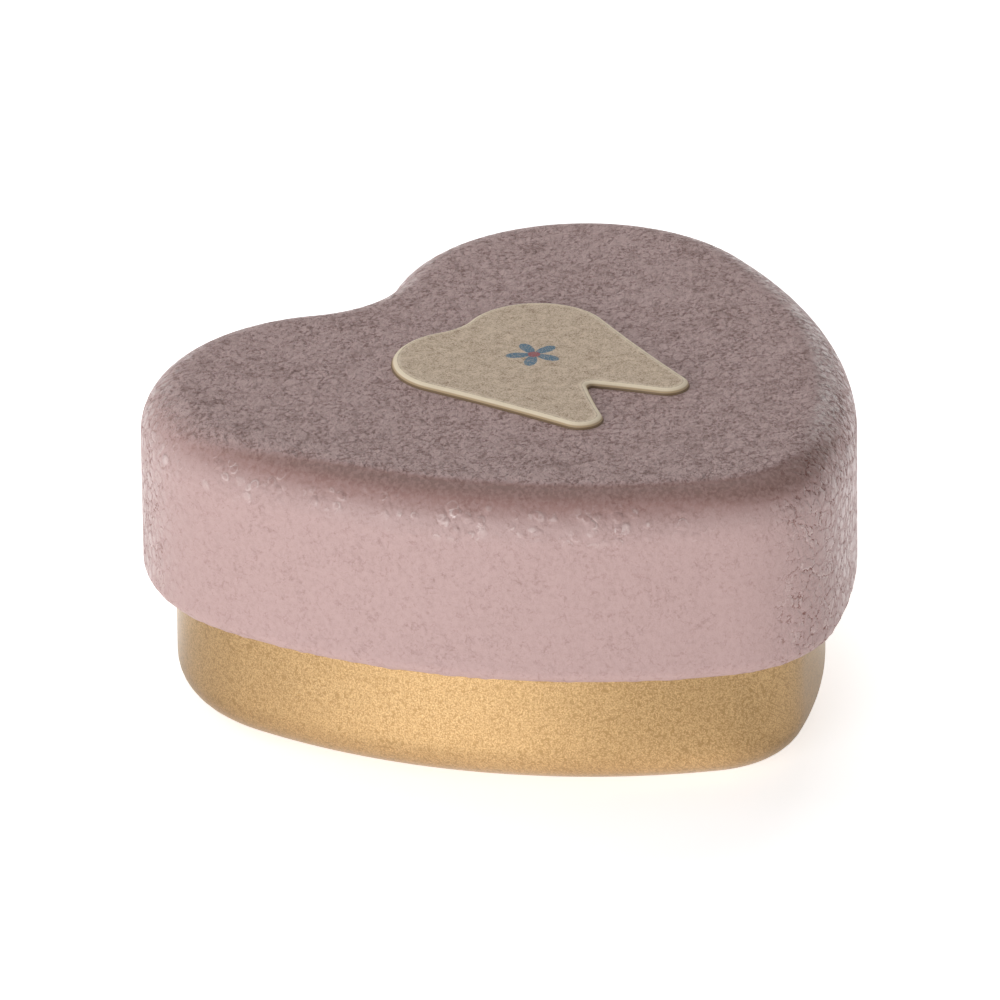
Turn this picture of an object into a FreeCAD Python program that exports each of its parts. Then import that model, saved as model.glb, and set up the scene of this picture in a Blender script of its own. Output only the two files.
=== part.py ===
import FreeCAD, Part
import math
import os
from collections import namedtuple

from FreeCAD import Vector

# Heart-shaped keepsake tin: a drawn cup and a drawn slip lid with a tooth pressed up out of its top.
# Millimetres, +Z up, origin under the middle of the lid's outline on the surface the tin stands on.
# Seen from above, the heart's point is at -Y and its cleft at +Y.

# Outline of the lid's outer wall, all tangent arcs
lid_width = 55.0
lid_length = 51.4
lobe_radius = 15.3
tip_radius = 10.4
flank_radius = 46.8
cleft_radius = 7.8

# Tinplate and the play between the two drawn pieces
sheet_thickness = 0.3
slip_clearance = 0.3
seat_clearance = 0.1

# Lid: flat panel, rounded shoulder, straight skirt and an edge rolled inwards
lid_height = 24.8
lid_edge_height = 9.6
shoulder_radius = 3.8
hem_outer_radius = 1.3
hem_inner_radius = 0.8
hem_leg = 1.2

# Base: pushed-up bottom panel, narrow standing land, round heel, straight wall and a curled mouth
heel_radius = 3.1
standing_land = 0.8
bottom_rise = 0.4
bottom_bend_radius = 0.4
bottom_slope = 35.0
rim_radius = 0.9
rim_turn = 260.0

# Tooth: a molar outline, all tangent arcs, with its crown towards the cleft
tooth_width = 18.0
tooth_height = 20.2
tooth_offset = 1.6
cusp_radius = 5.4
dip_radius = 4.6
waist_radius = 160.0
root_tip_radius = 1.5
root_spacing = 8.8
arch_radius = 0.6
arch_height = 5.4
root_inside_radius = 60.0

# Pressing of the tooth and the enamel that covers its flat top and its flank
press_height = 0.35
press_bend_radius = 0.12
press_slope = 60.0
enamel_thickness = 0.1

up = Vector(0, 0, 1)
quarter_turn = 90.0
half_turn = 180.0
full_turn = 360.0

Circle = namedtuple("Circle", "centre radius side")
Arc = namedtuple("Arc", "centre radius first span side")
Step = namedtuple("Step", "turn straight run")


def bearing(centre, point):
    return math.degrees(math.atan2(point.y - centre.y, point.x - centre.x))


def touching_centre(first, first_distance, second, second_distance):
    # The point at these distances from two centres, to the left of the line from first to second
    line = second - first
    along = (first_distance**2 - second_distance**2 + line.Length**2) / (2 * line.Length)
    aside = math.sqrt(first_distance**2 - along**2)
    ahead = line / line.Length
    return first + ahead * along + Vector(-ahead.y, ahead.x, 0) * aside


def joint_point(one, other):
    # Where tangent circles meet: between the centres if one is hollow, else beyond the smaller one's centre
    if one.side != other.side:
        small, away = one, other.centre - one.centre
    else:
        small, large = sorted((one, other), key=lambda circle: circle.radius)
        away = small.centre - large.centre
    return small.centre + away / away.Length * small.radius


def mirrored_outline(chain):
    # The chain holds the right half's circles from the bottom up, the first and last on the mirror axis.
    # Side is 1 where the outline bulges and -1 where it is hollow.
    def arc(circle, centre, first, last):
        span = circle.side * ((circle.side * (last - first)) % full_turn)
        return Arc(centre, circle.radius, first, span, circle.side)

    joints = [joint_point(one, other) for one, other in zip(chain, chain[1:])]
    bottom, top = chain[0], chain[-1]
    lowest = bearing(bottom.centre, joints[0])
    highest = bearing(top.centre, joints[-1])
    arcs = [arc(bottom, bottom.centre, half_turn - lowest, lowest)]
    arcs.append(arc(top, top.centre, highest, half_turn - highest))
    for circle, start, end in zip(chain[1:-1], joints, joints[1:]):
        first = bearing(circle.centre, start)
        last = bearing(circle.centre, end)
        opposite = Vector(-circle.centre.x, circle.centre.y, 0)
        arcs.append(arc(circle, circle.centre, first, last))
        arcs.append(arc(circle, opposite, half_turn - last, half_turn - first))
    return arcs


def heart_outline():
    lobe = Vector(lid_width / 2 - lobe_radius, lid_length / 2 - lobe_radius, 0)
    tip = Vector(0, tip_radius - lid_length / 2, 0)
    flank = touching_centre(tip, flank_radius - tip_radius, lobe, flank_radius - lobe_radius)
    rise = math.sqrt((lobe_radius + cleft_radius) ** 2 - lobe.x**2)
    return mirrored_outline([
        Circle(tip, tip_radius, 1),
        Circle(flank, flank_radius, 1),
        Circle(lobe, lobe_radius, 1),
        Circle(Vector(0, lobe.y + rise, 0), cleft_radius, -1),
    ])


def tooth_outline():
    root_end = tooth_offset - tooth_height / 2
    cusp = Vector(tooth_width / 2 - cusp_radius, tooth_offset + tooth_height / 2 - cusp_radius, 0)
    root = Vector(root_spacing / 2, root_end + root_tip_radius, 0)
    arch = Vector(0, root_end + arch_height - arch_radius, 0)
    waist = touching_centre(cusp, waist_radius + cusp_radius, root, waist_radius + root_tip_radius)
    to_root = root_inside_radius + root_tip_radius
    to_arch = root_inside_radius - arch_radius
    inside = touching_centre(root, to_root, arch, to_arch)
    rise = math.sqrt((cusp_radius + dip_radius) ** 2 - cusp.x**2)
    return mirrored_outline([
        Circle(arch, arch_radius, -1),
        Circle(inside, root_inside_radius, -1),
        Circle(root, root_tip_radius, 1),
        Circle(waist, waist_radius, -1),
        Circle(cusp, cusp_radius, 1),
        Circle(Vector(0, cusp.y + rise, 0), dip_radius, -1),
    ])


def outline_plate(arcs, inset, bottom, top):
    # Flat plate whose edge lies inside the outline by inset, which keeps every arc's centre
    edges = []
    for arc in arcs:
        centre = arc.centre + up * bottom
        ends = sorted((arc.first, arc.first + arc.span))
        edges.append(Part.makeCircle(arc.radius - arc.side * inset, centre, up, *ends))
    face = Part.Face(Part.Wire(Part.__sortEdges__(edges)))
    return face.extrude(up * (top - bottom))


def follow_outline(arcs, section):
    # Carries a section round the outline: its X is the distance outwards from the outline
    pieces = []
    for arc in arcs:
        face = section if arc.side > 0 else section.mirror(Vector(), Vector(1, 0, 0))
        face = face.translated(Vector(arc.radius, 0, 0))
        piece = face.revolve(Vector(), up, arc.span)
        piece.rotate(Vector(), up, arc.first)
        pieces.append(piece.translated(arc.centre))
    return pieces


def polar(angle, length):
    turn = math.radians(angle)
    return Vector(math.cos(turn), 0, math.sin(turn)) * length


def bent_sheet(place, heading, runs, thickness):
    # Section of a bent sheet, or of a coat on one. Its outer face starts at a place with a heading and takes
    # each run in turn: a straight length, then a bend with the outer face's radius and a turn, positive to
    # the left. The thickness lies to the left of that face.
    outer = []
    inner = []
    ends = [Part.makeLine(place, place + polar(heading + quarter_turn, thickness))]
    for length, radius, turn in runs:
        inwards = polar(heading + quarter_turn, thickness)
        corner = place + polar(heading, length)
        if length > 0:
            outer.append(Part.makeLine(place, corner))
            inner.append(Part.makeLine(place + inwards, corner + inwards))
        way = math.copysign(1, turn)
        centre = corner + polar(heading + way * quarter_turn, radius)
        spokes = [heading - way * quarter_turn + turn * part for part in (0, 1 / 2, 1)]
        inner_radius = radius - way * thickness
        outer.append(Part.Arc(*[centre + polar(spoke, radius) for spoke in spokes]).toShape())
        inner.append(Part.Arc(*[centre + polar(spoke, inner_radius) for spoke in spokes]).toShape())
        place = centre + polar(spokes[-1], radius)
        heading += turn
    ends.append(Part.makeLine(place, place + polar(heading + quarter_turn, thickness)))
    return Part.Face(Part.Wire(Part.__sortEdges__(outer + inner + ends)))


def sheet_step(height, bend_radius, slope):
    # Step in the sheet between two opposite bends of one inside radius, less steep where it is too low
    radii = bend_radius + bend_radius + sheet_thickness
    steepest = math.acos(max(1 - height / radii, 0))
    turn = min(math.radians(slope), steepest)
    straight = 0 if turn == steepest else (height - radii * (1 - math.cos(turn))) / math.sin(turn)
    return Step(math.degrees(turn), straight, radii * math.sin(turn) + straight * math.cos(turn))


def joined(first, others):
    return first.fuse(others).removeSplitter()


heart = heart_outline()
tooth = tooth_outline()

# The lid's rolled edge fills the step between the lid's skirt and the base's wall, less the slip clearance
hem_depth = hem_outer_radius + hem_inner_radius
base_inset = hem_depth + slip_clearance

# The tooth's pressed flank is centred on its outline
press_step = sheet_step(press_height, press_bend_radius, press_slope)
press_edge = press_step.run / 2
press_top = lid_height + press_height

# The base's curled mouth nests under the lid's shoulder, clear of it by the seat clearance
curl_reach = shoulder_radius - sheet_thickness - seat_clearance - rim_radius
curl_aside = max(shoulder_radius - base_inset - rim_radius, 0)
curl_height = lid_height - shoulder_radius + math.sqrt(curl_reach**2 - curl_aside**2)


def lid_shell():
    skirt = lid_height - shoulder_radius - lid_edge_height - hem_outer_radius
    wall_section = bent_sheet(
        Vector(-hem_depth, 0, lid_edge_height + hem_inner_radius + hem_leg),
        -quarter_turn,
        [
            (hem_leg, hem_inner_radius, quarter_turn),
            (0, hem_outer_radius, quarter_turn),
            (skirt, shoulder_radius, quarter_turn),
        ],
        sheet_thickness,
    )
    flank_section = bent_sheet(
        Vector(press_edge, 0, lid_height),
        half_turn,
        [
            (0, press_bend_radius, -press_step.turn),
            (press_step.straight, press_bend_radius + sheet_thickness, press_step.turn),
        ],
        sheet_thickness,
    )
    underside = lid_height - sheet_thickness
    panel = outline_plate(heart, shoulder_radius, underside, lid_height)
    window = outline_plate(tooth, -press_edge, underside, lid_height)
    plateau = outline_plate(tooth, press_edge, press_top - sheet_thickness, press_top)
    walls = follow_outline(heart, wall_section)
    flanks = follow_outline(tooth, flank_section)
    return joined(panel.cut(window), walls + flanks + [plateau])


def base_shell():
    step = sheet_step(bottom_rise, bottom_bend_radius, bottom_slope)
    panel_inset = base_inset + heel_radius + standing_land + step.run
    wall_section = bent_sheet(
        Vector(-panel_inset, 0, bottom_rise),
        0,
        [
            (0, bottom_bend_radius, -step.turn),
            (step.straight, bottom_bend_radius + sheet_thickness, step.turn),
            (standing_land, heel_radius, quarter_turn),
            (curl_height - heel_radius, rim_radius, rim_turn),
        ],
        sheet_thickness,
    )
    panel = outline_plate(heart, panel_inset, bottom_rise, bottom_rise + sheet_thickness)
    return joined(panel, follow_outline(heart, wall_section))


def tooth_enamel():
    # The coat starts on the flank, where the bend at its foot ends, and goes up over the edge
    foot_centre = Vector(press_edge, 0, lid_height + press_bend_radius)
    foot = foot_centre + polar(-quarter_turn - press_step.turn, press_bend_radius - enamel_thickness)
    edge_radius = press_bend_radius + sheet_thickness + enamel_thickness
    flank_section = bent_sheet(
        foot,
        half_turn - press_step.turn,
        [(press_step.straight, edge_radius, press_step.turn)],
        enamel_thickness,
    )
    top = outline_plate(tooth, press_edge, press_top, press_top + enamel_thickness)
    return joined(top, follow_outline(tooth, flank_section))


os.makedirs("parts", exist_ok=True)
nodes = {"base_shell": base_shell(), "lid_shell": lid_shell(), "tooth_enamel": tooth_enamel()}
for name, shape in nodes.items():
    solid = shape.Solids[0]
    solid.exportStep(f"parts/{name}.step")
    print(name, "solids", len(shape.Solids), "valid", solid.isValid(), "volume", round(solid.Volume))
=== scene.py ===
import math

import bpy
import numpy as np
from mathutils import Matrix, Vector, noise
from mathutils.geometry import delaunay_2d_cdt


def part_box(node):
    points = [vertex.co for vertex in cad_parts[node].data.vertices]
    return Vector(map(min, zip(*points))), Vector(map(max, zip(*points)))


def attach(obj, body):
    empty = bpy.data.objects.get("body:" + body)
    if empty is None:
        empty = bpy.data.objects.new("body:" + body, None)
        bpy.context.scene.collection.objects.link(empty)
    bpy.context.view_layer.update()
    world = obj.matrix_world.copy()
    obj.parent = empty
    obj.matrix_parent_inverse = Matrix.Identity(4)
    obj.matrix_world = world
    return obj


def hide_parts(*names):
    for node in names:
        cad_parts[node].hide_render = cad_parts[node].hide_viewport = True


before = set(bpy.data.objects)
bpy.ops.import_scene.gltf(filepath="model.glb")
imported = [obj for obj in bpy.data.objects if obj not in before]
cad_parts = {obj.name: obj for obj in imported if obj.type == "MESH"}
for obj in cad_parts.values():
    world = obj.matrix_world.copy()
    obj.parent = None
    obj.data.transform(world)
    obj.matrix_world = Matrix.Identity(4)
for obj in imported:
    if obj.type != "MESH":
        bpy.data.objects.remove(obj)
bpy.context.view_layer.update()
mm = 0.001  # the frame is in metres, sizes below are in millimetres

lidLow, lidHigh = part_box("lid_shell")
baseLow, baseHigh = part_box("base_shell")
print("frame loaded:", ", ".join(sorted(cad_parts)))


def hexToLinear(code):
    shares = [int(code[place:place + 2], 16) / 255 for place in (1, 3, 5)]
    linear = [c / 12.92 if c <= 0.04045 else ((c + 0.055) / 1.055) ** 2.4 for c in shares]
    return (*linear, 1.0)


def addNode(tree, kind, settings=None, links=()):
    # links go by name or in order, each from a node's first live output, a socket or a plain value
    node = tree.nodes.new("ShaderNode" + kind)
    for name, value in (settings or {}).items():
        setattr(node, name, value)
    for name, source in links.items() if isinstance(links, dict) else enumerate(links):
        if isinstance(source, bpy.types.Node):
            source = next(output for output in source.outputs if output.enabled)
        if isinstance(source, bpy.types.NodeSocket):
            tree.links.new(source, node.inputs[name])
        else:
            node.inputs[name].default_value = source
    return node


# Settings that many nodes share
smooth = {"interpolation_type": "SMOOTHSTEP"}
minus = {"operation": "SUBTRACT"}
times = {"operation": "MULTIPLY"}
timesPlus = {"operation": "MULTIPLY_ADD"}
larger = {"operation": "MAXIMUM"}
magnitude = {"operation": "ABSOLUTE"}
inColour = {"data_type": "RGBA"}


# Outlines of tangent arcs

def touchingCentre(first, firstDistance, second, secondDistance):
    # left of the line from first to second
    line = second - first
    along = (firstDistance**2 - secondDistance**2 + line.length_squared) / (2 * line.length)
    aside = math.sqrt(firstDistance**2 - along**2)
    ahead = line.normalized()
    return first + ahead * along + Vector((-ahead.y, ahead.x)) * aside


def jointPoint(one, other):
    # circles of unlike side meet between their centres, like ones beyond the smaller one's centre
    if one["side"] != other["side"]:
        small, away = one, other["centre"] - one["centre"]
    else:
        small, large = sorted((one, other), key=lambda circle: circle["radius"])
        away = small["centre"] - large["centre"]
    return small["centre"] + away.normalized() * small["radius"]


def outlineLoop(circles, step):
    # circles of the right half from the bottom up: side 1 bulges and -1 is hollow
    bottom, top = circles[0], circles[-1]
    stops = [bottom["centre"] - Vector((0, bottom["side"] * bottom["radius"]))]
    stops += [jointPoint(one, other) for one, other in zip(circles, circles[1:])]
    stops.append(top["centre"] + Vector((0, top["side"] * top["radius"])))
    points, normals = [], []
    for circle, start, end in zip(circles, stops, stops[1:]):
        spokes = [end - circle["centre"], start - circle["centre"]]
        last, first = [math.atan2(spoke.y, spoke.x) for spoke in spokes]
        sweep = circle["side"] * ((circle["side"] * (last - first)) % math.tau)
        count = max(2, round(abs(sweep) * circle["radius"] / step))
        for share in np.arange(count) / count:
            spoke = np.array([math.cos(first + sweep * share), math.sin(first + sweep * share)])
            points.append(np.array(circle["centre"]) + spoke * circle["radius"])
            normals.append(spoke * circle["side"])
    flip = np.array([-1, 1])
    points.append(np.array(stops[-1]))
    normals.append(np.array([0.0, 1.0]))
    points += [point * flip for point in points[-2:0:-1]]
    normals += [normal * flip for normal in normals[-2:0:-1]]
    return {"points": np.array(points), "normals": np.array(normals)}


def circle(x, y, radius, side):
    return {"centre": Vector((x, y)), "radius": radius, "side": side}


heart = {
    "width": (lidHigh.x - lidLow.x) / mm,
    "length": (lidHigh.y - lidLow.y) / mm,
    "lobeRadius": 15.3,
    "tipRadius": 10.4,
    "flankRadius": 46.8,
    "cleftRadius": 7.8,
}


def heartLoop(step):
    lobe = Vector((heart["width"] / 2 - heart["lobeRadius"], heart["length"] / 2 - heart["lobeRadius"]))
    tip = Vector((0, heart["tipRadius"] - heart["length"] / 2))
    toTip = heart["flankRadius"] - heart["tipRadius"]
    toLobe = heart["flankRadius"] - heart["lobeRadius"]
    flank = touchingCentre(tip, toTip, lobe, toLobe)
    rise = math.sqrt((heart["lobeRadius"] + heart["cleftRadius"]) ** 2 - lobe.x**2)
    return outlineLoop([
        circle(*tip, heart["tipRadius"], 1),
        circle(*flank, heart["flankRadius"], 1),
        circle(*lobe, heart["lobeRadius"], 1),
        circle(0, lobe.y + rise, heart["cleftRadius"], -1),
    ], step)


tooth = {
    "width": 18.0,
    "height": 20.2,
    "offset": 1.6,  # middle of the tooth, towards the cleft
    "cuspRadius": 5.4,
    "dipRadius": 4.6,
    "waistRadius": 160.0,
    "rootTipRadius": 1.5,
    "rootSpacing": 8.8,
    "archRadius": 0.6,
    "archHeight": 5.4,
    "rootInsideRadius": 60.0,
    "pressHeight": 0.35,
    "pressBend": 0.12,
    "pressSlope": 60.0,
    "coat": 0.1,  # enamel over the pressed top and its flank
    "coatThinning": 0.6,  # less than 1 keeps it thick further down the flank
    "bead": (0.26, 0.012),  # width and height of the bead that the enamel drew up along its edge
    "beadRings": 6,
    "step": 0.17,
    "flankStep": 0.085,
    "underStep": 0.68,
}


def toothLoop(step):
    rootEnd = tooth["offset"] - tooth["height"] / 2
    cuspX = tooth["width"] / 2 - tooth["cuspRadius"]
    cusp = Vector((cuspX, tooth["offset"] + tooth["height"] / 2 - tooth["cuspRadius"]))
    root = Vector((tooth["rootSpacing"] / 2, rootEnd + tooth["rootTipRadius"]))
    arch = Vector((0, rootEnd + tooth["archHeight"] - tooth["archRadius"]))
    cuspToWaist = tooth["waistRadius"] + tooth["cuspRadius"]
    rootToWaist = tooth["waistRadius"] + tooth["rootTipRadius"]
    waist = touchingCentre(cusp, cuspToWaist, root, rootToWaist)
    rootToInside = tooth["rootInsideRadius"] + tooth["rootTipRadius"]
    archToInside = tooth["rootInsideRadius"] - tooth["archRadius"]
    inside = touchingCentre(root, rootToInside, arch, archToInside)
    rise = math.sqrt((tooth["cuspRadius"] + tooth["dipRadius"]) ** 2 - cusp.x**2)
    return outlineLoop([
        circle(*arch, tooth["archRadius"], -1),
        circle(*inside, tooth["rootInsideRadius"], -1),
        circle(*root, tooth["rootTipRadius"], 1),
        circle(*waist, tooth["waistRadius"], -1),
        circle(*cusp, tooth["cuspRadius"], 1),
        circle(0, cusp.y + rise, tooth["dipRadius"], -1),
    ], step)


# Sections of bent sheet, and the meshes that they make

def polar(angle, length):
    return np.array([math.cos(math.radians(angle)), math.sin(math.radians(angle))]) * length


def bentFace(place, heading, runs, depth, step):
    # face of a bent sheet, depth to the left of the line that starts at place and takes each run in turn:
    # a straight length, then a bend with a radius and a turn, positive to the left
    face = [np.array(place) + polar(heading + 90, depth)]
    place = np.array(place)
    for length, radius, turn in runs:
        corner = place + polar(heading, length)
        aside = polar(heading + 90, depth)
        count = math.ceil(length / step)
        face += [place + (corner - place) * (k + 1) / count + aside for k in range(count)]
        way = math.copysign(1, turn)
        centre = corner + polar(heading + way * 90, radius)
        spoke = heading - way * 90
        count = max(4, math.ceil(radius * math.radians(abs(turn)) / step))
        bend = [spoke + turn * (k + 1) / count for k in range(count)]
        face += [centre + polar(angle, radius - way * depth) for angle in bend]
        place = centre + polar(spoke + turn, radius)
        heading += turn
    return np.array(face)


def addPoints(shell, points):
    first = len(shell["points"])
    shell["points"] += [tuple(point) for point in points]
    return np.arange(first, first + len(points))


def addFaces(shell, faces, slot, inside):
    # faces on the inside of the sheet are turned over
    shell["faces"] += [face[::-1] if inside else face for face in faces]
    shell["slots"] += [slot] * len(faces)


def bridgeRings(shell, ring, nextRing, slot, inside=False):
    quads = zip(ring, np.roll(ring, -1), np.roll(nextRing, -1), nextRing)
    addFaces(shell, [tuple(int(k) for k in quad) for quad in quads], slot, inside)


def sweepFace(shell, loop, face, slot, inside=False):
    # carries a section round an outline: its first number is the distance outwards, its second the height
    rings = []
    for outward, height in face:
        ring = loop["points"] + loop["normals"] * outward
        rings.append(addPoints(shell, np.column_stack([ring, np.full(len(ring), height)])))
    for ring, nextRing in zip(rings, rings[1:]):
        bridgeRings(shell, ring, nextRing, slot, inside)
    return rings


def insideLoop(points, ring):
    start, end = ring, np.roll(ring, -1, axis=0)
    count = np.zeros(len(points), int)
    for (x0, y0), (x1, y1) in zip(start, end):
        spans = (y0 > points[:, 1]) != (y1 > points[:, 1])
        if y0 != y1:
            count += spans & (points[:, 0] < x0 + (points[:, 1] - y0) * (x1 - x0) / (y1 - y0))
    return count % 2 == 1


def fillLoop(shell, rim, guard, step, slot, inside=False, hole=None, holeGuard=None):
    # flat fill within a rim of points, and round a hole, on a lattice that stays inside the guard outlines
    corners = np.array([shell["points"][k] for k in rim])
    low, high = corners[:, :2].min(axis=0), corners[:, :2].max(axis=0)
    rise = step * math.sqrt(3) / 2
    rows = np.arange(low[1], high[1], rise)
    columns = np.arange(low[0], high[0], step)
    lattice = np.array([(x + step / 2 * (k % 2), y) for k, y in enumerate(rows) for x in columns])
    keep = insideLoop(lattice, guard)
    if hole is not None:
        keep &= ~insideLoop(lattice, holeGuard)
    lattice = lattice[keep]
    fresh = addPoints(shell, np.column_stack([lattice, np.full(len(lattice), corners[0, 2])]))
    rims = [rim] if hole is None else [rim, hole]
    places = np.concatenate(rims + [fresh])
    flat = [Vector(shell["points"][k][:2]) for k in places]
    edges, first = [], 0
    for loop in rims:
        edges += [(first + k, first + (k + 1) % len(loop)) for k in range(len(loop))]
        first += len(loop)
    found = delaunay_2d_cdt(flat, edges, [], 1, 1e-6)
    spots = np.array(found[0])
    triangles = np.array(found[2])
    source = np.array([ids[0] for ids in found[3]])
    middles = spots[triangles].mean(axis=1)
    if hole is not None:
        triangles = triangles[~insideLoop(middles, np.array([shell["points"][k][:2] for k in hole]))]
    addFaces(shell, [tuple(int(places[source[k]]) for k in face) for face in triangles], slot, inside)
    return fresh


def makePiece(name, shell, materials):
    mesh = bpy.data.meshes.new(name)
    mesh.from_pydata([tuple(c * mm for c in point) for point in shell["points"]], [], shell["faces"])
    for material in materials:
        mesh.materials.append(material)
    mesh.polygons.foreach_set("material_index", shell["slots"])
    mesh.polygons.foreach_set("use_smooth", [True] * len(mesh.polygons))
    mesh.update()
    piece = bpy.data.objects.new(name, mesh)
    bpy.context.scene.collection.objects.link(piece)
    print(name, len(mesh.vertices), "points", len(mesh.polygons), "faces")
    return piece


def newShell():
    return {"points": [], "faces": [], "slots": []}


# Materials

def newMaterial(name):
    material = bpy.data.materials.new(name)
    material.use_nodes = True
    material.node_tree.nodes.clear()
    return material, material.node_tree


roseFinish = {
    "flake": "#b79b98",
    # painted lighter on the flat top, standing in for light there
    "topFlakePaintedLight": "#c2a6a3",
    "deepFlake": "#a1847f",
    "bendShade": "#9e7973",  # painted shade over the shoulder's bend
    # painted highlight: pale glints on the flakes
    "rim": "#e2d2cf",
    # brown smears of the ground, and painted shade along the upper bend
    "smear": "#876b64",
    "mark": "#5e382e",
    "crack": "#6c3529",
    "ior": 1.5,
    "specular": 0.35,
    "roughness": 0.58,
    "flakeGloss": 0.2,  # roughness of the glossy flakes
    "relief": 0.16,  # mm
    # size in mm, octaves and roughness of each irregular pattern
    "patterns": {
        "grain": (0.1, 1.0, 0.5),
        "marks": (0.33, 2.0, 0.6),
        "lumps": (0.42, 3.0, 0.6),
        "curves": (0.85, 2.0, 0.6),
        "openings": (1.1, 3.0, 0.5),
        "smears": (0.7, 4.0, 0.65),
        "patches": (3.5, 2.0, 0.5),
    },
    "grainHeading": 47.4,  # the patterns are drawn out along this line, degrees from +X
    "grainStretch": 1.15,
    # size of the flakes in mm, then size, octaves, roughness and reach of the noise that bends their edges
    "flakes": {
        "ends": (1.0, 0.7, 3.0, 0.6, 1.3),
        "foot": (0.95, 1.2, 2.0, 0.6, 0.7),
    },
    "front": (-0.677, -0.736, 0.0),  # the bend keeps its painted shade on this side, and at the back the flat top's painted lighter colour runs down it
    "topStart": 24.58,  # heights where the marks and the painted lighter flakes of the flat top start and are full
    "topEnd": 24.795,
    "behindDrop": 2.2,  # they run further down the bend at the back
    "upperBendShade": (23.7, 24.5),  # heights where painted shade darkens the upper bend
    "bendDrop": 0.6,  # lower towards the point
    "pointLean": 1.0,  # the crackle starts at the heart's point and goes on to its right
    "pointWander": 3.0,
    "lobeHeading": (0.736, 0.677),  # and there is more at the outer ends of the lobes
    "tone": (0.6, 1.55, -0.25),  # darker flakes: first level, last one, and its change on the top
    # soft steps: what each one reads, where it starts and ends, and what it gives there if not 0 and 1
    "steps": {
        "behind": ("frontwards", 5.0, 16.0, 1.0, 0.0),
        "pointward": ("towardsPoint", 10.0, 24.0),
        "point": ("nearPoint", 22.4, 27.4),
        "lobe": ("outwards", 28.4, 31.4),
        "pointRise": ("height", 20.5, 23.0),
        # where the bend's painted shade starts and is full
        "bend": ("height", 22.3, 24.2),
        "footRise": ("height", 20.7, 21.9),  # band of glossy flakes along the shoulder's foot
        "footFall": ("height", 23.1, 24.2, 1.0, 0.0),
        "footPatches": ("patches", 0.38, 0.58, 0.1, 1.0),
        "backGloss": ("height", 24.78, 24.5, 0.0, 0.8),  # glossy flakes on the bend at the back
        "fringeGlint": ("height", 24.785, 24.6, 0.0, 0.75),  # painted highlight there, to the right of the point
        "fringeEnd": ("height", 23.0, 24.3),
        "fringeLumps": ("lumps", 0.44, 0.56),
        "dome": ("fromEdge", 0.0, 0.28),
        "ringRise": ("fromEdge", 0.03, 0.1),
        "ringFall": ("fromEdge", 0.12, 0.22, 1.0, 0.0),
        "arc": ("curves", 0.46, 0.56),
        "arcLot": ("arcLot", 0.5, 0.65),
        "disc": ("fromMiddle", 0.26, 0.46, 1.0, 0.0),
        "hoopRise": ("fromMiddle", 0.28, 0.36),
        "hoopFall": ("fromMiddle", 0.38, 0.48, 1.0, 0.0),
        "hook": ("curves", 0.44, 0.53),
        "hookLot": ("hookLot", 0.1, 0.5),
        "blotLot": ("blotLot", 0.72, 0.96, 0.0, 0.8),
        "rimLumps": ("lumps", 0.36, 0.54, 0.3, 1.0),
        "footDome": ("fromMiddle", 0.2, 0.62, 1.0, 0.0),
        "glossLot": ("glossLot", 0.2, 0.6),
        "broken": ("marks", 0.4, 0.56),
        "gap": ("openings", 0.36, 0.6, 0.006, 0.085),
        "splitCurves": ("curves", 0.38, 0.5),
        "curveWidth": ("openings", 0.36, 0.62, 0.01, 0.09),
        "specks": ("specks", 0.73, 0.9),
        "sideMarks": ("patches", 0.42, 0.64, 0.03, 0.16),
        "smears": ("smearing", 0.62, 0.86),
        "upperGrit": ("marks", 0.36, 0.62, 0.42, 0.88),
        "bendGrit": ("marks", 0.36, 0.64, 0.6, 0.98),
        "island": ("toneLot", 0.0, 1.0, -0.34, 0.1),
    },
    # how strongly each thing shows
    "shares": {
        "footFade": -0.8,  # fewer flakes along the foot towards the point
        "speckOpenings": 0.3,
        "smearPatches": 0.3,
        "toneGrain": 0.6,
        "endCracks": 0.85,
        "sideCracks": 0.22,
        "topMarks": 0.48,
        "topOutlines": 0.62,
        "topSmears": 0.48,
        "sideSmears": 0.05,
        "footGlints": 0.5,
        "endGlints": 0.4,
        "endGloss": 0.75,
    },
    # how high it stands, times the relief
    "heights": {
        "topLumps": 2.0,
        "sideLumps": 0.3,
        "topFlakes": 0.45,
        "endFlakes": 0.37,
        "footFlakes": 0.5,
        "marks": -0.3,
        "cracks": -0.12,
        "grain": 0.04,
    },
}


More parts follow.
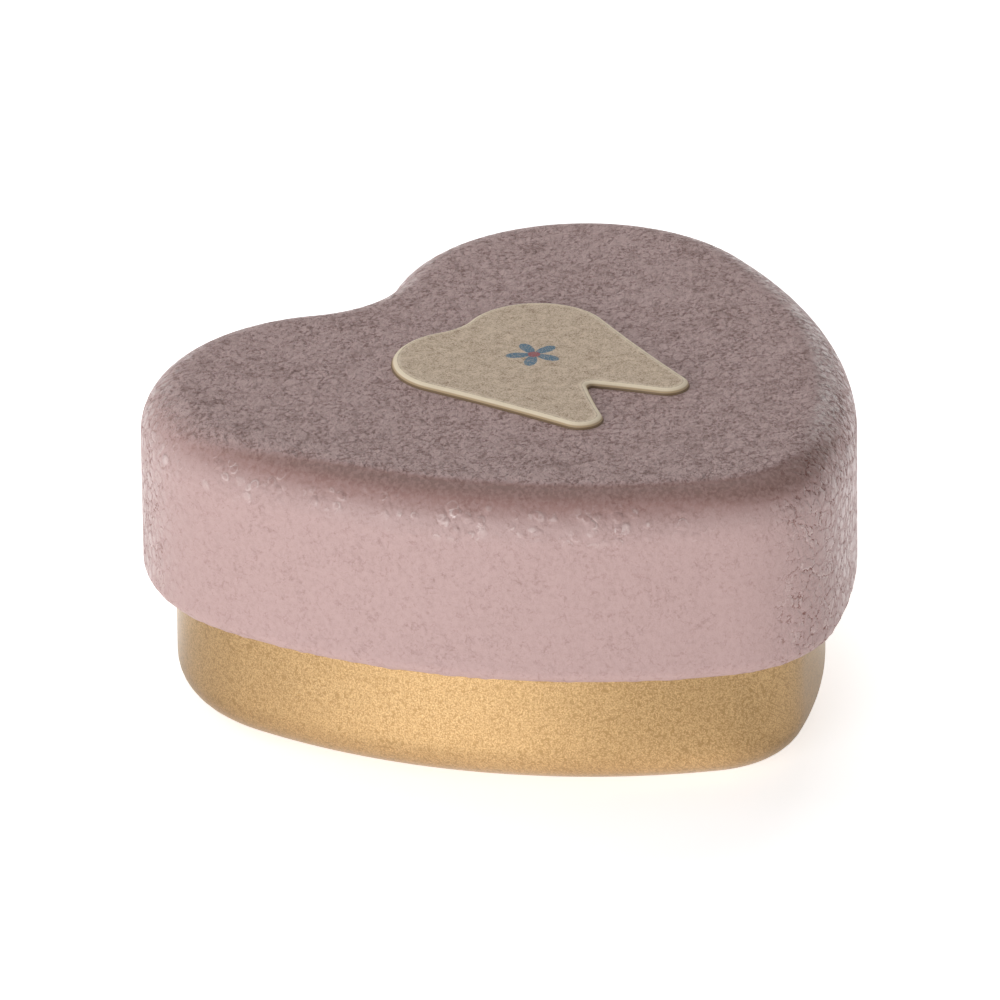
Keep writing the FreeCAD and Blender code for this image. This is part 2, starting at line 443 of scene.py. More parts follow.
def roseCrackleLacquer():
    # Rose lacquer sprayed over a brown ground, which drew it apart as it dried: satin and smooth on the
    # side, lumpy with small brown marks on the top, and split into glossy flakes at the shoulder and the ends
    material, tree = newMaterial("roseCrackleLacquer")
    share, rise = roseFinish["shares"], roseFinish["heights"]
    place = addNode(tree, "TexCoord").outputs["Object"]
    inMm = addNode(tree, "VectorMath", {"operation": "SCALE"}, {0: place, "Scale": 1 / mm})
    x, y, z = addNode(tree, "SeparateXYZ", None, [inMm]).outputs
    drawn = addNode(tree, "Mapping", {"vector_type": "TEXTURE"}, {
        "Vector": inMm, "Rotation": (0, 0, math.radians(roseFinish["grainHeading"])),
        "Scale": (roseFinish["grainStretch"], 1, 1)})
    value = {"height": z}
    for name, (size, octaves, rough) in roseFinish["patterns"].items():
        value[name] = addNode(tree, "TexNoise", None, {
            "Vector": drawn, "Scale": 1 / size, "Detail": octaves, "Roughness": rough})

    # Flakes, with a lot drawn for each one
    cells = {}
    for name, (size, wanderSize, octaves, rough, reach) in roseFinish["flakes"].items():
        wander = addNode(tree, "TexNoise", None, {
            "Vector": inMm, "Scale": 1 / wanderSize, "Detail": octaves, "Roughness": rough})
        wandered = addNode(tree, "VectorMath", timesPlus, [wander.outputs["Color"], (reach,) * 3, inMm])
        cells[name] = {"Vector": wandered, "Scale": 1 / size}
    value["fromEdge"] = addNode(tree, "TexVoronoi", {"feature": "DISTANCE_TO_EDGE"}, cells["ends"])
    endFlakes = addNode(tree, "TexVoronoi", {"feature": "F1"}, cells["ends"])
    endLots = addNode(tree, "SeparateColor", None, [endFlakes.outputs["Color"]])
    value["arcLot"], value["toneLot"] = endLots.outputs[0], endLots.outputs[2]
    footFlakes = addNode(tree, "TexVoronoi", {"feature": "F1"}, cells["foot"])
    footLots = addNode(tree, "SeparateColor", None, [footFlakes.outputs["Color"]])
    value["fromMiddle"] = footFlakes
    value["hookLot"], value["blotLot"], value["glossLot"] = footLots.outputs

    # Distances in mm to the front, the point and the lobes' ends, and mixtures of patterns
    value["frontwards"] = addNode(tree, "VectorMath", {"operation": "DOT_PRODUCT"}, [
        inMm, roseFinish["front"]])
    forwards = addNode(tree, "Math", times, [y, -1.0])
    towardsPoint = addNode(tree, "Math", timesPlus, [x, roseFinish["pointLean"], forwards])
    value["towardsPoint"] = towardsPoint
    pointWander = roseFinish["pointWander"]
    centred = addNode(tree, "Math", minus, [towardsPoint, pointWander / 2])
    value["nearPoint"] = addNode(tree, "Math", timesPlus, [value["patches"], pointWander, centred])
    lobeX, lobeY = roseFinish["lobeHeading"]
    aside = addNode(tree, "Math", magnitude, [x])
    back = addNode(tree, "Math", times, [y, lobeY])
    value["outwards"] = addNode(tree, "Math", timesPlus, [aside, lobeX, back])
    value["specks"] = addNode(tree, "Math", timesPlus, [
        value["openings"], share["speckOpenings"], value["marks"]])
    value["smearing"] = addNode(tree, "Math", timesPlus, [
        value["patches"], share["smearPatches"], value["smears"]])
    soft = {}
    for name, (source, *levels) in roseFinish["steps"].items():
        soft[name] = addNode(tree, "MapRange", smooth, [value[source], *levels])

    # Where the lacquer is which
    topStart = addNode(tree, "Math", timesPlus, [
        soft["behind"], -roseFinish["behindDrop"], roseFinish["topStart"]])
    onTop = addNode(tree, "MapRange", smooth, [z, topStart, roseFinish["topEnd"]])
    offTop = addNode(tree, "Math", minus, [1.0, onTop])
    bendShadeBand = addNode(tree, "Math", times, [soft["bend"], offTop])
    onFoot = addNode(tree, "Math", times, [soft["footRise"], soft["footFall"]])
    footPatchy = addNode(tree, "Math", times, [onFoot, soft["footPatches"]])
    footFade = addNode(tree, "Math", timesPlus, [soft["pointward"], share["footFade"], 1.0])
    footShare = addNode(tree, "Math", times, [footPatchy, footFade])
    pointOrLobe = addNode(tree, "Math", larger, [soft["point"], soft["lobe"]])
    onEnds = addNode(tree, "Math", times, [pointOrLobe, offTop])
    pointBend = addNode(tree, "Math", times, [soft["point"], soft["pointRise"]])
    marked = addNode(tree, "Math", larger, [onTop, pointBend])

    # Painted highlights: pale arcs round the flakes at the ends, hooks and blots on the rounder ones along
    # the foot, and a pale fringe on the bend at the back
    endGlint = soft["ringRise"]
    for part in (soft["ringFall"], soft["arc"], soft["arcLot"], onEnds):
        endGlint = addNode(tree, "Math", times, [endGlint, part])
    hook = soft["hoopRise"]
    for part in (soft["hoopFall"], soft["hook"], soft["hookLot"]):
        hook = addNode(tree, "Math", times, [hook, part])
    blot = addNode(tree, "Math", times, [soft["disc"], soft["blotLot"]])
    footGlint = addNode(tree, "Math", larger, [hook, blot])
    for part in (soft["rimLumps"], footShare):
        footGlint = addNode(tree, "Math", times, [footGlint, part])
    footDome = addNode(tree, "Math", times, [soft["footDome"], footShare])
    footGloss = addNode(tree, "Math", times, [footDome, soft["glossLot"]])
    footGlintShown = addNode(tree, "Math", times, [footGlint, share["footGlints"]])
    endGlintShown = addNode(tree, "Math", times, [endGlint, share["endGlints"]])
    glintShown = addNode(tree, "Math", larger, [footGlintShown, endGlintShown])
    fringeGlint = addNode(tree, "Math", times, [soft["behind"], soft["fringeGlint"]])
    fringePatchy = addNode(tree, "Math", times, [soft["pointward"], soft["fringeLumps"]])
    for part in (fringePatchy, soft["fringeEnd"]):
        fringeGlint = addNode(tree, "Math", times, [fringeGlint, part])
    glintShown = addNode(tree, "Math", larger, [glintShown, fringeGlint])

    # Cracks between the flakes
    crack = addNode(tree, "MapRange", smooth, [value["fromEdge"], 0.0, soft["gap"], 1.0, 0.0])
    brokenCrack = addNode(tree, "Math", times, [soft["broken"], soft["splitCurves"]])
    crack = addNode(tree, "Math", times, [crack, brokenCrack])
    crackShare = addNode(tree, "Math", timesPlus, [onEnds, share["endCracks"], share["sideCracks"]])
    crackShown = addNode(tree, "Math", times, [crack, crackShare])

    # Small curved marks, along the middle level of a pattern
    level = addNode(tree, "Math", magnitude, [addNode(tree, "Math", minus, [value["curves"], 0.5])])
    curve = addNode(tree, "MapRange", smooth, [level, 0.0, soft["curveWidth"], 1.0, 0.0])
    brokenCurve = addNode(tree, "Math", times, [curve, soft["broken"]])
    mark = addNode(tree, "Math", larger, [brokenCurve, soft["specks"]])
    markShare = addNode(tree, "Math", timesPlus, [marked, share["topMarks"], soft["sideMarks"]])
    mark = addNode(tree, "Math", times, [mark, markShare])
    outlineShare = addNode(tree, "Math", times, [marked, share["topOutlines"]])
    outline = addNode(tree, "Math", times, [crack, outlineShare])
    markShown = addNode(tree, "Math", larger, [mark, outline])

    # The ground rubbed through in smears, and painted shade along the upper bend
    bendLevel = addNode(tree, "Math", timesPlus, [soft["pointward"], roseFinish["bendDrop"], z])
    upperBendShade = addNode(tree, "MapRange", smooth, [bendLevel, *roseFinish["upperBendShade"]])
    for part in (offTop, soft["upperGrit"]):
        upperBendShade = addNode(tree, "Math", times, [upperBendShade, part])
    smearShare = addNode(tree, "Math", timesPlus, [onTop, share["topSmears"], share["sideSmears"]])
    smear = addNode(tree, "Math", times, [soft["smears"], smearShare])
    smearsAndBendShade = addNode(tree, "Math", larger, [smear, upperBendShade])

    toneFirst, toneLast, toneChange = roseFinish["tone"]
    tone = addNode(tree, "Math", timesPlus, [value["grain"], share["toneGrain"], value["lumps"]])
    tone = addNode(tree, "Math", timesPlus, [soft["island"], marked, tone])
    toneEnd = addNode(tree, "Math", timesPlus, [onTop, toneChange, toneLast])
    deep = addNode(tree, "MapRange", smooth, [tone, toneFirst, toneEnd])
    # painted shade on the shoulder's bend, broken by grit
    bendShade = addNode(tree, "Math", times, [bendShadeBand, soft["bendGrit"]])
    layers = [
        # painted light: the flat top is lighter
        ("topFlakePaintedLight", onTop),
        ("deepFlake", deep),
        # painted shade on the bend
        ("bendShade", bendShade),
        # painted highlights
        ("rim", glintShown),
        # smears, and painted shade on the upper bend
        ("smear", smearsAndBendShade),
        ("mark", markShown),
        ("crack", crackShown),
    ]
    colour = hexToLinear(roseFinish["flake"])
    for name, amount in layers:
        colour = addNode(tree, "Mix", inColour, {0: amount, 6: colour, 7: hexToLinear(roseFinish[name])})

    # Glossy flakes, and relief of lumps, domed flakes and sunk cracks
    endGloss = addNode(tree, "Math", times, [soft["dome"], onEnds])
    endGloss = addNode(tree, "Math", times, [endGloss, share["endGloss"]])
    backGloss = addNode(tree, "Math", times, [soft["behind"], soft["backGloss"]])
    backGloss = addNode(tree, "Math", times, [backGloss, soft["dome"]])
    gloss = footGlint
    for part in (endGloss, footGloss, backGloss):
        gloss = addNode(tree, "Math", larger, [gloss, part])
    roughness = addNode(tree, "MapRange", None, {
        "Value": gloss, "To Min": roseFinish["roughness"], "To Max": roseFinish["flakeGloss"]})
    lumpRise = addNode(tree, "Math", timesPlus, [onTop, rise["topLumps"], rise["sideLumps"]])
    relief = addNode(tree, "Math", times, [value["lumps"], lumpRise])
    topRise = addNode(tree, "Math", times, [onTop, rise["topFlakes"]])
    flakeRise = addNode(tree, "Math", timesPlus, [onEnds, rise["endFlakes"], topRise])
    bumps = [
        (soft["dome"], flakeRise),
        (footDome, rise["footFlakes"]),
        (markShown, rise["marks"]),
        (crackShown, rise["cracks"]),
        (value["grain"], rise["grain"]),
    ]
    for shape, height in bumps:
        relief = addNode(tree, "Math", timesPlus, [shape, height, relief])
    bump = addNode(tree, "Bump", None, {"Height": relief, "Distance": roseFinish["relief"] * mm})
    surface = addNode(tree, "BsdfPrincipled", None, {
        "Base Color": colour, "Roughness": roughness, "IOR": roseFinish["ior"],
        "Specular IOR Level": roseFinish["specular"], "Normal": bump})
    addNode(tree, "OutputMaterial", None, {"Surface": surface})
    return material


goldFinish = {
    "gold": "#d5b17e",
    "deepGold": "#a98653",
    "edge": "#a8a8a8",  # darker to the sides, where the flakes lie edge on
    # size in mm, octaves and roughness of each pattern
    "grain": (0.12, 2.0, 0.7),  # pigment is finer, drawn as coarse as it needs to show
    "pits": (0.3, 1.0, 0.5),
    "hairline": (0.05, 5.0),  # width and length
    "hairlineLean": 35.0,
    "hairlineOctaves": 1.0,
    # first and last level of each pattern, and how dark it gets
    "grainLevels": (0.34, 0.66),
    "pitLevels": (0.56, 0.7, 0.0, 0.7),
    "hairlineLevels": (0.55, 0.7, 0.0, 0.6),
    "relief": 0.03,
    "metallic": 0.95,
    "roughness": 0.42,
    "coat": 0.9,  # clear varnish
    "coatRoughness": 0.3,
}


def satinGoldPaint():
    # Metallic gold paint sprayed on tinplate: satin, with the coarse grain of its pigment flakes,
    # small dark pits and a few fine hairlines from wiping
    material, tree = newMaterial("satinGoldPaint")
    place = addNode(tree, "TexCoord").outputs["Object"]
    pattern = {}
    for name in ("grain", "pits"):
        size, octaves, rough = goldFinish[name]
        pattern[name] = addNode(tree, "TexNoise", None, {
            "Vector": place, "Scale": 1 / (size * mm), "Detail": octaves, "Roughness": rough})
    width, length = goldFinish["hairline"]
    along = addNode(tree, "Mapping", {"vector_type": "TEXTURE"}, {
        "Vector": place, "Rotation": (0, math.radians(goldFinish["hairlineLean"]), 0),
        "Scale": (length / width, 1, 1)})
    hairlines = addNode(tree, "TexNoise", None, {
        "Vector": along, "Scale": 1 / (width * 2 * mm),  # a hairline and the gap beside it
        "Detail": goldFinish["hairlineOctaves"]})
    grained = addNode(tree, "MapRange", None, [pattern["grain"], *goldFinish["grainLevels"]])
    pitted = addNode(tree, "MapRange", smooth, [pattern["pits"], *goldFinish["pitLevels"]])
    wiped = addNode(tree, "MapRange", smooth, [hairlines, *goldFinish["hairlineLevels"]])
    dark = addNode(tree, "Math", larger, [wiped, pitted])
    tone = addNode(tree, "Math", {"operation": "ADD", "use_clamp": True}, [grained, dark])
    colour = addNode(tree, "Mix", inColour, {
        0: tone, 6: hexToLinear(goldFinish["gold"]), 7: hexToLinear(goldFinish["deepGold"])})
    bump = addNode(tree, "Bump", None, {"Height": pattern["grain"], "Distance": goldFinish["relief"] * mm})
    surface = addNode(tree, "BsdfPrincipled", None, {
        "Base Color": colour, "Metallic": goldFinish["metallic"], "Roughness": goldFinish["roughness"],
        "Specular Tint": hexToLinear(goldFinish["edge"]), "Coat Weight": goldFinish["coat"],
        "Coat Roughness": goldFinish["coatRoughness"], "Normal": bump})
    addNode(tree, "OutputMaterial", None, {"Surface": surface})
    return material


creamFinish = {
    "cream": "#d8c3aa",
    "tan": "#a98f72",
    "speck": "#7a5a3e",
    "edge": "#f2e3c8",  # painted highlight along the rounded edge
    # painted shade down the flank's foot
    "foot": "#a88d68",
    "line": "#5f4a35",  # painted shadow along the foot
    # size in mm, octaves and roughness of each pattern
    "mottle": (0.9, 4.0, 0.68),
    "grit": (0.1, 2.0, 0.6),  # crazing is finer, drawn as coarse as it needs to show
    "mottleShare": 0.7,
    "tanLevels": (0.7, 1.02),
    "speckLevels": (0.96, 1.1, 0.0, 0.7),
    # heights in mm where each band starts and is full, and its share there
    "bands": {
        # edge and bead: painted highlight along the rounded edge and its bead
        "edge": (25.2498, 25.24, 0.9),
        "bead": (25.2502, 25.26, 0.36),
        # painted shade down the flank's foot
        "foot": (25.13, 25.05, 0.8),
        # painted shadow round the foot
        "line": (25.0, 24.93, 0.8),
    },
    "relief": 0.03,
    "mottleRelief": 0.3,
    "roughness": 0.45,
    "specular": 0.25,
    # a small painted flower on the crown
    "blue": "#2f617b",
    "red": "#8f3136",
    "flower": (0.6, 3.4),
    "petals": 5,
    "petalReach": 2.3,
    "petalDip": 0.5,
    "petalRoundness": 0.6,
    "heartReach": 0.65,
    "brushed": 0.35,  # unevenness of its edges
    "wornLevels": (0.34, 0.52, 0.55, 1.0),
}


def creamEnamel():
    # Cream stoving enamel, satin and finely crazed, mottled with tan, with a painted flower
    material, tree = newMaterial("creamEnamel")
    place = addNode(tree, "TexCoord").outputs["Object"]
    pattern = {}
    for name in ("mottle", "grit"):
        size, octaves, rough = creamFinish[name]
        pattern[name] = addNode(tree, "TexNoise", None, {
            "Vector": place, "Scale": 1 / (size * mm), "Detail": octaves, "Roughness": rough})
    mottle, grit = pattern["mottle"], pattern["grit"]
    level = addNode(tree, "Math", timesPlus, [mottle, creamFinish["mottleShare"], grit])
    tanned = addNode(tree, "MapRange", None, [level, *creamFinish["tanLevels"]])
    specked = addNode(tree, "MapRange", smooth, [level, *creamFinish["speckLevels"]])
    height = addNode(tree, "SeparateXYZ", None, [place]).outputs["Z"]
    band = {}
    for name, (start, full, share) in creamFinish["bands"].items():
        band[name] = addNode(tree, "MapRange", smooth, [height, start * mm, full * mm, 0.0, share])
    edgeHighlight = addNode(tree, "Math", larger, [band["edge"], band["bead"]])

    # The flower: petals in blue round a red heart, with brushed edges
    flowerX, flowerY = creamFinish["flower"]
    fromFlower = addNode(tree, "VectorMath", minus, [place, (flowerX * mm, flowerY * mm, 0)])
    flat = addNode(tree, "VectorMath", times, [fromFlower, (1, 1, 0)])
    reach = addNode(tree, "VectorMath", {"operation": "LENGTH"}, [flat])
    brushed = addNode(tree, "Math", timesPlus, [grit, creamFinish["brushed"] * mm, reach])
    sides = addNode(tree, "SeparateXYZ", None, [flat])
    turn = addNode(tree, "Math", {"operation": "ARCTAN2"}, [sides.outputs["Y"], sides.outputs["X"]])
    turns = addNode(tree, "Math", times, [turn, creamFinish["petals"]])
    wave = addNode(tree, "Math", {"operation": "COSINE"}, [turns])
    wave = addNode(tree, "Math", timesPlus, [wave, 0.5, 0.5])
    petal = addNode(tree, "Math", {"operation": "POWER"}, [wave, creamFinish["petalRoundness"]])
    petalEnd = addNode(tree, "MapRange", None, {
        "Value": petal, "To Min": creamFinish["petalDip"] * mm, "To Max": creamFinish["petalReach"] * mm})
    worn = addNode(tree, "MapRange", smooth, [grit, *creamFinish["wornLevels"]])
    painted = []
    for end in (petalEnd, creamFinish["heartReach"] * mm):
        inside = addNode(tree, "Math", {"operation": "LESS_THAN"}, [brushed, end])
        painted.append(addNode(tree, "Math", times, [inside, worn]))
    layers = [
        ("tan", tanned),
        ("speck", specked),
        # painted highlight on the edge
        ("edge", edgeHighlight),
        # painted shade at the foot
        ("foot", band["foot"]),
        # painted shadow round the foot
        ("line", band["line"]),
        ("blue", painted[0]),
        ("red", painted[1]),
    ]
    colour = hexToLinear(creamFinish["cream"])
    for name, amount in layers:
        colour = addNode(tree, "Mix", inColour, {0: amount, 6: colour, 7: hexToLinear(creamFinish[name])})

    relief = addNode(tree, "Math", timesPlus, [mottle, creamFinish["mottleRelief"], grit])
    bump = addNode(tree, "Bump", None, {"Height": relief, "Distance": creamFinish["relief"] * mm})
    surface = addNode(tree, "BsdfPrincipled", None, {
        "Base Color": colour, "Roughness": creamFinish["roughness"],
        "Specular IOR Level": creamFinish["specular"], "Normal": bump})
    addNode(tree, "OutputMaterial", None, {"Surface": surface})
    return material


lacquer = roseCrackleLacquer()
goldPaint = satinGoldPaint()
enamel = creamEnamel()
print("materials made")

# The lid: rolled edge, skirt, shoulder and flat panel with the pressed tooth

sheet = 0.3  # tinplate, mm
rimGap = 0.6  # in steps, kept free between a rim and the points that fill it
lid = {
    "height": lidHigh.z / mm - tooth["pressHeight"],
    "edgeHeight": lidLow.z / mm,
    "shoulderRadius": 3.8,
    "hemOuterRadius": 1.3,
    "hemInnerRadius": 0.8,
    "hemLeg": 1.2,
    "step": 0.27,  # outside
    "lumpSize": 0.9,  # paint gathered in lumps along the rolled edge
    "lumpHeight": 0.16,
    "lumpReach": 1.4,
    "lumpSag": 0.5,
    "insideStep": 1.2,
}
hemDepth = lid["hemOuterRadius"] + lid["hemInnerRadius"]

# The pressed step round the tooth, between two opposite bends
pressRadii = tooth["pressBend"] * 2 + sheet
pressTurn = math.radians(tooth["pressSlope"])
pressStraight = (tooth["pressHeight"] - pressRadii * (1 - math.cos(pressTurn))) / math.sin(pressTurn)
pressEdge = (pressRadii * math.sin(pressTurn) + pressStraight * math.cos(pressTurn)) / 2
pressRuns = [
    (0, tooth["pressBend"], -tooth["pressSlope"]),
    (pressStraight, tooth["pressBend"] + sheet, tooth["pressSlope"]),
]


def ringOf(loop, outward):
    return loop["points"] + loop["normals"] * outward


def addLumps(shell, rings, face, normals):
    top = lid["edgeHeight"] + lid["lumpReach"]
    for ring, (outward, height) in zip(rings, face):
        if outward <= -lid["hemOuterRadius"] or height > top:
            continue
        share = lid["lumpHeight"] * (top - height) / lid["lumpReach"]
        for k, normal in zip(ring, normals):
            point = Vector(shell["points"][k])
            lump = share * max(0, noise.noise(point / lid["lumpSize"]))
            shell["points"][k] = tuple(point + Vector((*normal, -lid["lumpSag"])) * lump)


def makeLid():
    shell = newShell()
    around = heartLoop(lid["step"])
    toothAround = toothLoop(tooth["step"])
    skirt = lid["height"] - lid["shoulderRadius"] - lid["edgeHeight"] - lid["hemOuterRadius"]
    start = (-hemDepth, lid["edgeHeight"] + lid["hemInnerRadius"] + lid["hemLeg"])
    runs = [
        (lid["hemLeg"], lid["hemInnerRadius"], 90),
        (0, lid["hemOuterRadius"], 90),
        (skirt, lid["shoulderRadius"], 90),
    ]
    ends = []
    for depth, step, inside in ((0, lid["step"], False), (sheet, lid["insideStep"], True)):
        slot = 1 if inside else 0
        face = bentFace(start, -90, runs, depth, step)
        rings = sweepFace(shell, around, face, slot, inside)
        if not inside:
            addLumps(shell, rings, face, around["normals"])
        flank = bentFace((pressEdge, lid["height"]), 180, pressRuns, depth, tooth["step"])
        pressRings = sweepFace(shell, toothAround, flank, slot, inside)
        ends.append(rings[0])
        gap = step * rimGap
        fillLoop(
            shell, rings[-1], ringOf(around, -lid["shoulderRadius"] - gap), step, slot, inside,
            pressRings[0], ringOf(toothAround, pressEdge + gap))
        fillLoop(shell, pressRings[-1], ringOf(toothAround, flank[-1][0] - gap), step, slot, inside)
    bridgeRings(shell, ends[1], ends[0], 1)
    piece = makePiece("lid_sheet", shell, [lacquer, goldPaint])
    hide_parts("lid_shell")
    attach(piece, "lid")
    return piece


def makeToothCoat():
    # a skin over the pressed tooth, thinning to nothing at the foot of its flank
    shell = newShell()
    around = toothLoop(tooth["step"])
    under = bentFace((pressEdge, lid["height"]), 180, pressRuns, 0, tooth["flankStep"])
    over = bentFace((pressEdge, lid["height"]), 180, pressRuns, -tooth["coat"], tooth["flankStep"])
    shares = np.linspace(0, 1, len(under)) ** tooth["coatThinning"]
    outer = under + (over - under) * shares[:, None]
    beadWidth, beadHeight = tooth["bead"]
    across = np.linspace(0, 1, tooth["beadRings"] + 1)[1:]
    up = np.sin(math.pi * np.sqrt(across)) * beadHeight
    bead = outer[-1] + np.column_stack([-across * beadWidth, up])
    outer = np.concatenate([outer, bead])
    rings = sweepFace(shell, around, outer, 0)
    gap = tooth["step"] * rimGap
    fillLoop(shell, rings[-1], ringOf(around, outer[-1][0] - gap), tooth["step"], 0)
    underRings = sweepFace(shell, around, under[1:], 0, True)
    bridgeRings(shell, rings[0], underRings[0], 0, True)
    fillLoop(shell, underRings[-1], ringOf(around, under[-1][0] - gap), tooth["underStep"], 0, True)
    piece = makePiece("tooth_coat", shell, [enamel])
    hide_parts("tooth_enamel")
    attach(piece, "lid")
    return piece


# The base: pushed-up bottom, standing land, heel, wall and a mouth curled inwards

base = {
    "inset": hemDepth + 0.3,  # inside the lid's outline: the lid's rolled edge and the slip clearance
    "rimHeight": baseHigh.z / mm,
    "heelRadius": 3.1,
    "land": 0.8,
    "bottomRise": 0.4,
    "bottomBend": 0.4,
    "bottomSlope": 35.0,
    "rimRadius": 0.9,
    "rimTurn": 260.0,
    "step": 0.45,
    "bottomStep": 0.9,
}


def makeBase():
    shell = newShell()
    around = heartLoop(base["step"])
    radii = base["bottomBend"] * 2 + sheet
    turn = math.radians(base["bottomSlope"])
    straight = (base["bottomRise"] - radii * (1 - math.cos(turn))) / math.sin(turn)
    if straight < 0:  # too low for that slope, so the two bends meet
        straight = 0
        turn = math.acos(1 - base["bottomRise"] / radii)
    run = radii * math.sin(turn) + straight * math.cos(turn)
    panelInset = base["inset"] + base["heelRadius"] + base["land"] + run
    slope = math.degrees(turn)
    wall = base["rimHeight"] - base["rimRadius"] - base["heelRadius"]
    runs = [
        (0, base["bottomBend"], -slope),
        (straight, base["bottomBend"] + sheet, slope),
        (base["land"], base["heelRadius"], 90),
        (wall, base["rimRadius"], base["rimTurn"]),
    ]
    ends = []
    for depth, inside in ((0, False), (sheet, True)):
        face = bentFace((-panelInset, base["bottomRise"]), 0, runs, depth, base["step"])
        rings = sweepFace(shell, around, face, 0, inside)
        ends.append(rings[-1])
        guard = ringOf(around, -panelInset - base["step"] * rimGap)
        fillLoop(shell, rings[0], guard, base["bottomStep"], 0, not inside)
    bridgeRings(shell, ends[0], ends[1], 0)
    piece = makePiece("base_cup", shell, [goldPaint])
    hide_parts("base_shell")
    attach(piece, "base")
    return piece


makeLid()
makeToothCoat()
makeBase()
print("pieces made")

# Studio: pale floor, white surroundings, large soft lamps

studio = {
    "floorSize": 3.0,  # metres from here on
    "floorColour": "#f4f4f4",
    "floorGlow": 0.66,
    "floorMirrored": 0.27,  # in front of the tin, and white behind it
    "backwards": (0.677, 0.736, 0.0),
    "backReach": (0.0, 0.016),
    # middle, reach and glow of the pools of light on the floor
    "pools": [
        ((-0.033, -0.011, 0.0), 0.032, 0.74),
        ((-0.0157, -0.0141, 0.0), 0.011, 0.25),  # close to the heel
        ((-0.0068, -0.0222, 0.0), 0.011, 0.5),
    ],
    "fill": 0.1,
    "ceiling": 0.25,
    "ceilingRise": (0.1, 0.6),  # height in the sky where white fades into the ceiling
    "white": "#ffffff",
}


def makeFloor():
    material, tree = newMaterial("whitePaperFloor")
    path = addNode(tree, "LightPath")
    seen = addNode(tree, "Math", larger, [path.outputs["Is Camera Ray"], path.outputs["Is Transmission Ray"]])
    place = addNode(tree, "TexCoord").outputs["Object"]
    backwards = addNode(tree, "VectorMath", {"operation": "DOT_PRODUCT"}, [place, studio["backwards"]])
    floorSeen = addNode(tree, "MapRange", smooth, [
        backwards, *studio["backReach"], studio["floorMirrored"], 1.0])
    for middle, reach, glow in studio["pools"]:
        fromMiddle = addNode(tree, "VectorMath", {"operation": "DISTANCE"}, [place, middle])
        pool = addNode(tree, "MapRange", smooth, [fromMiddle, 0.0, reach, glow, 0.0])
        floorSeen = addNode(tree, "Math", {"operation": "ADD"}, [floorSeen, pool])
    mirrored = addNode(tree, "Math", times, [path.outputs["Is Glossy Ray"], floorSeen])
    glowing = addNode(tree, "Math", timesPlus, [seen, studio["floorGlow"], mirrored])
    paper = addNode(tree, "BsdfDiffuse", None, {"Color": hexToLinear(studio["floorColour"])})
    glow = addNode(tree, "Emission", None, {"Strength": glowing})
    both = addNode(tree, "AddShader", None, [paper, glow])
    addNode(tree, "OutputMaterial", None, {"Surface": both})
    half = studio["floorSize"] / 2
    mesh = bpy.data.meshes.new("floor")
    corners = [(-half, -half, 0), (half, -half, 0), (half, half, 0), (-half, half, 0)]
    mesh.from_pydata(corners, [], [(0, 1, 2, 3)])
    mesh.materials.append(material)
    floor = bpy.data.objects.new("floor", mesh)
    bpy.context.scene.collection.objects.link(floor)


def makeWorld():
    world = bpy.data.worlds.new("lightTent")
    bpy.context.scene.world = world
    world.use_nodes = True
    tree = world.node_tree
    tree.nodes.clear()
    path = addNode(tree, "LightPath")
    seen = addNode(tree, "Math", larger, [path.outputs["Is Camera Ray"], path.outputs["Is Transmission Ray"]])
    direction = addNode(tree, "TexCoord").outputs["Generated"]
    upwards = addNode(tree, "SeparateXYZ", None, [direction]).outputs["Z"]
    sky = addNode(tree, "MapRange", smooth, [upwards, *studio["ceilingRise"], 1.0, studio["ceiling"]])
    white = hexToLinear(studio["white"])
    fill, mirrored, backdrop = [
        addNode(tree, "Background", None, {"Color": white, "Strength": strength})
        for strength in (studio["fill"], sky, 1.0)
    ]
    lit = addNode(tree, "MixShader", None, [path.outputs["Is Glossy Ray"], fill, mirrored])
    both = addNode(tree, "MixShader", None, [seen, lit, backdrop])
    addNode(tree, "OutputWorld", None, {"Surface": both})


lamps = {
    "keyBox": {"azimuth": 198, "elevation": 9, "distance": 0.6, "size": (0.45, 0.18), "watts": 2.35},
    "rightBox": {"azimuth": 305, "elevation": 9, "distance": 0.6, "size": (0.35, 0.18), "watts": 0.65},
    "backBox": {"azimuth": 47, "elevation": 50, "distance": 0.6, "size": (0.4, 0.4), "watts": 1.55},
    "backLeftBox": {"azimuth": 120, "elevation": 35, "distance": 0.6, "size": (0.4, 0.4), "watts": 0.9},
}
tablePanel = {"size": 1.0, "height": 0.0005, "watts": 2.0}  # light table under the tin


def addLamp(name, size, watts):
    data = bpy.data.lights.new(name, "AREA")
    data.shape = "RECTANGLE"
    data.size, data.size_y = size
    data.energy = watts
    light = bpy.data.objects.new(name, data)
    bpy.context.scene.collection.objects.link(light)
    return light


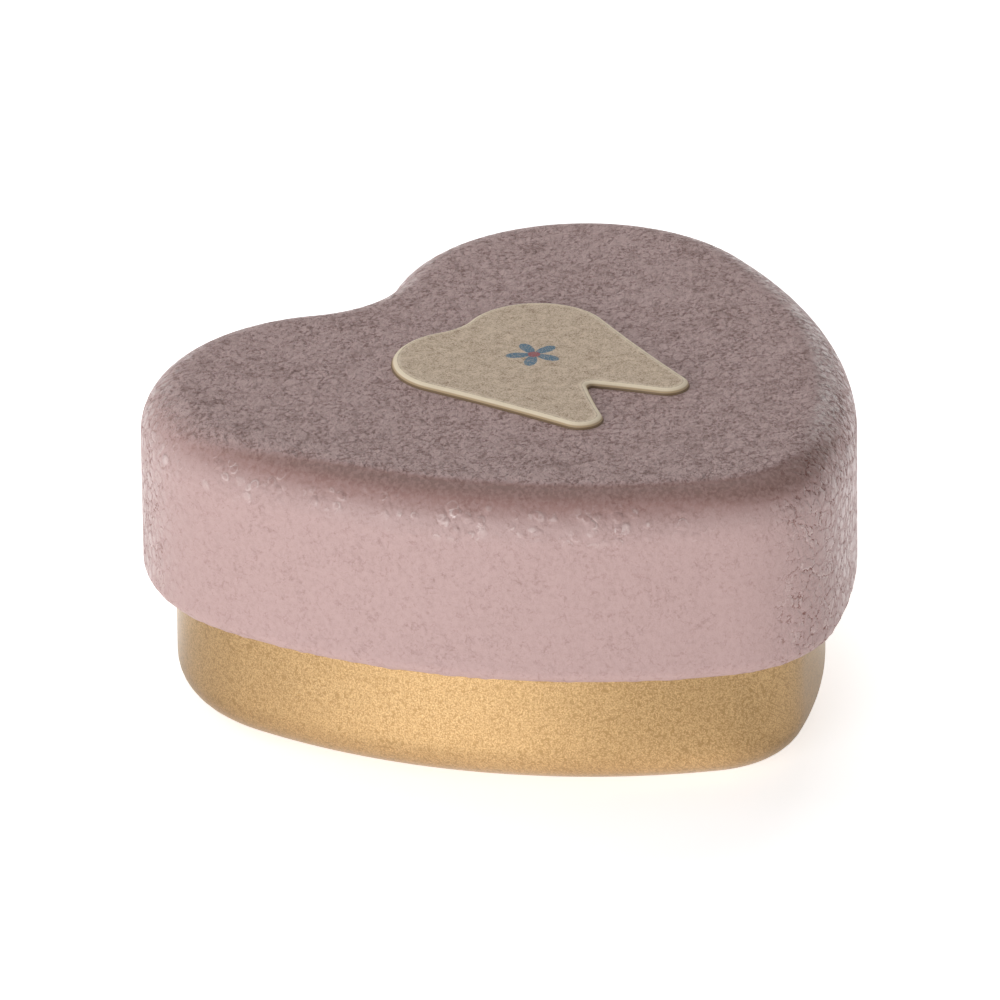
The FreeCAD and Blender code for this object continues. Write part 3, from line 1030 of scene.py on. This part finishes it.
def makeLamps():
    aim = Vector((0, 0, lid["height"] / 2 * mm))
    for name, lamp in lamps.items():
        light = addLamp(name, lamp["size"], lamp["watts"])
        turn, rise = math.radians(lamp["azimuth"]), math.radians(lamp["elevation"])
        towards = Vector((math.cos(turn) * math.cos(rise), math.sin(turn) * math.cos(rise), math.sin(rise)))
        light.location = aim + towards * lamp["distance"]
        light.rotation_euler = towards.to_track_quat("Z", "Y").to_euler()
    panel = addLamp("tablePanel", (tablePanel["size"],) * 2, tablePanel["watts"])
    panel.location.z = tablePanel["height"]
    panel.rotation_euler.x = math.pi  # facing up
    panel.visible_camera = False
    panel.visible_glossy = False


camera = {
    "azimuth": -42.57,
    "elevation": 24.8,
    "roll": -0.70,
    "distance": 1.1,
    "pixelsPerMm": 13.2414,  # at the target, in a picture 1000 pixels wide
    "pictureWidth": 1000,
    "targetRight": 2.51,
    "targetHeight": 11.08,
    "targetBack": 10.4,
    "sensor": 36.0,
    "clipStart": 0.01,
}


def makeCamera():
    turn, rise, roll = [math.radians(camera[name]) for name in ("azimuth", "elevation", "roll")]
    right = Vector((math.cos(turn), math.sin(turn), 0))
    back = Vector((math.sin(turn) * math.cos(rise), -math.cos(turn) * math.cos(rise), math.sin(rise)))
    up = back.cross(right)
    rolledRight = right * math.cos(roll) + up * math.sin(roll)
    rolledUp = up * math.cos(roll) - right * math.sin(roll)
    target = Vector((0, camera["targetBack"], camera["targetHeight"])) + right * camera["targetRight"]
    data = bpy.data.cameras.new("camera")
    data.sensor_width = camera["sensor"]
    data.lens = camera["sensor"] * camera["pixelsPerMm"] * camera["distance"] / mm / camera["pictureWidth"]
    data.clip_start = camera["clipStart"]
    view = bpy.data.objects.new("camera", data)
    bpy.context.scene.collection.objects.link(view)
    view.matrix_world = Matrix.Translation(target * mm + back * camera["distance"]) @ Matrix((
        rolledRight, rolledUp, back)).transposed().to_4x4()
    bpy.context.scene.camera = view


makeFloor()
makeWorld()
makeLamps()
makeCamera()
bpy.context.scene.view_settings.view_transform = "Standard"
print("studio set up")
